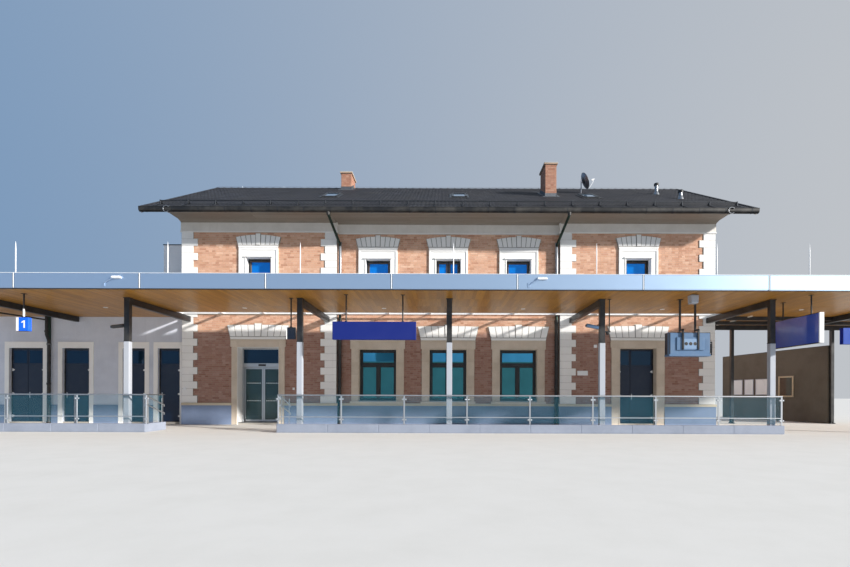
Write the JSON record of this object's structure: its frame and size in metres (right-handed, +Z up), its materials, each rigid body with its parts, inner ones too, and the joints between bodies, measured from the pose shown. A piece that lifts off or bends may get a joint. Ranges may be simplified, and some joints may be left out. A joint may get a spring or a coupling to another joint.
{
  "type": "railway station building",
  "caption": "Two-storey brick station building with tiled gable roof, rendered one-storey wing, platform canopy on posts, opening doors and glazed balustrade.",
  "frame": {"origin": "middle of the main building at ground level, on the underside of its floor", "axes": "+X along the platform to the right of someone who faces the building from it, +Y away from the platform, +Z up"},
  "size_m": [35.8, 15.815, 11.7494],
  "materials": {
    "brick": "matt fired facing brick in lime mortar",
    "light_stone": "smooth painted stone and render",
    "warm_stone": "fine grained dressed sandstone",
    "plinth_render": "smooth painted render",
    "white_render": "smooth painted render",
    "concrete": "cast concrete",
    "dark_render": "dark painted concrete",
    "roof_tiles": "dark clay tiles",
    "painted_timber": "painted boards",
    "dark_sheet": "dark coated sheet",
    "copper": "weathered copper tube",
    "galvanised": "galvanised steel",
    "dark_steel": "coated structural steel",
    "white_steel": "white coated steel",
    "panel_aluminium": "satin composite panels",
    "ceiling_timber": "satin varnished planks",
    "deck_membrane": "flat roof membrane",
    "door_coat": "satin dark blue coating",
    "frame_coat": "satin black coating",
    "door_aluminium": "satin anodised profiles",
    "glass": "clear tinted float glass",
    "blue_enamel": "gloss deep blue enamel",
    "board_coat": "satin blue grey coating"
  },
  "bodies": {
    "root": {"front_wall_centre": "brick", "front_piers": "brick", "front_walls_over_doors": "brick", "rear_wall": "brick", "gable_wall_right": "brick", "gable_wall_left": "brick", "floors": "concrete", "plinth": "plinth_render", "plinth_cap": "warm_stone", "quoins": "light_stone", "frieze": "light_stone", "eaves": "painted_timber", "roof_slope_front": "roof_tiles", "roof_slope_rear": "roof_tiles", "roof_ridge": "roof_tiles", "roof_timbers": "painted_timber", "gutters": "dark_sheet", "downpipes": "copper", "snow_guards": "galvanised", "chimneys": "brick", "roof_fittings": "galvanised", "window_surrounds": "warm_stone", "door_surrounds": "warm_stone", "upper_surrounds": "light_stone", "flat_arches": "light_stone", "window_frames": "frame_coat", "window_glass": "glass", "entrance_frame": "door_aluminium", "door_frames": "frame_coat", "wing_piers": "white_render", "wing_wall_over_doors": "white_render", "wing_outer_walls": "white_render", "wing_roof": "deck_membrane", "wing_surrounds": "light_stone", "side_annex": "white_render", "canopy_ceiling": "ceiling_timber", "canopy_deck": "deck_membrane", "canopy_fascia": "panel_aluminium", "glazing_bars": "white_steel", "canopy_glass": "glass", "canopy_posts": "dark_steel", "canopy_beams": "dark_steel", "blue_signs": "blue_enamel", "boards": "board_coat", "balustrade_kerbs": "concrete", "balustrade_rails": "galvanised", "balustrade_glass": "glass", "passage_wall": "dark_render"},
    "entrance_leaf_left": {"entrance_leaf_left": "door_aluminium", "entrance_glass_left": "glass"},
    "entrance_leaf_right": {"entrance_leaf_right": "door_aluminium", "entrance_glass_right": "glass"},
    "service_door_narrow": {"service_door_narrow": "door_coat"},
    "service_door_wide": {"service_door_wide": "door_coat"},
    "wing_door_1_left": {"wing_door_1_left": "door_coat"},
    "wing_door_1_right": {"wing_door_1_right": "door_coat"},
    "wing_door_2": {"wing_door_2": "door_coat"},
    "wing_door_3": {"wing_door_3": "door_coat"},
    "wing_door_4": {"wing_door_4": "door_coat"}
  },
  "joints": [
    {"name": "entrance_left_slide", "type": "slide", "parent": "root", "child": "entrance_leaf_left", "axis": [-1, 0, 0], "range_m": [0, 0.69]},
    {"name": "entrance_right_slide", "type": "slide", "parent": "root", "child": "entrance_leaf_right", "axis": [1, 0, 0], "range_m": [0, 0.69]},
    {"name": "service_narrow_hinge", "type": "hinge", "parent": "root", "child": "service_door_narrow", "pos_m": [6.619, -4.713, 1.3], "axis": [0, 0, -1], "range_deg": [0, 90]},
    {"name": "service_wide_hinge", "type": "hinge", "parent": "root", "child": "service_door_wide", "pos_m": [7.921, -4.713, 1.3], "axis": [0, 0, 1], "range_deg": [0, 90]},
    {"name": "wing_1_left_hinge", "type": "hinge", "parent": "root", "child": "wing_door_1_left", "pos_m": [-16.861, -4.733, 1.3], "axis": [0, 0, -1], "range_deg": [0, 90]},
    {"name": "wing_1_right_hinge", "type": "hinge", "parent": "root", "child": "wing_door_1_right", "pos_m": [-15.649, -4.733, 1.3], "axis": [0, 0, 1], "range_deg": [0, 90]},
    {"name": "wing_2_hinge", "type": "hinge", "parent": "root", "child": "wing_door_2", "pos_m": [-13.869, -4.733, 1.3], "axis": [0, 0, 1], "range_deg": [0, 90]},
    {"name": "wing_3_hinge", "type": "hinge", "parent": "root", "child": "wing_door_3", "pos_m": [-11.729, -4.733, 1.3], "axis": [0, 0, 1], "range_deg": [0, 90]},
    {"name": "wing_4_hinge", "type": "hinge", "parent": "root", "child": "wing_door_4", "pos_m": [-10.379, -4.733, 1.3], "axis": [0, 0, 1], "range_deg": [0, 90]}
  ],
  "couplings": [
    {"joint": "entrance_right_slide", "follows": "entrance_left_slide", "ratio": 1}
  ]
}
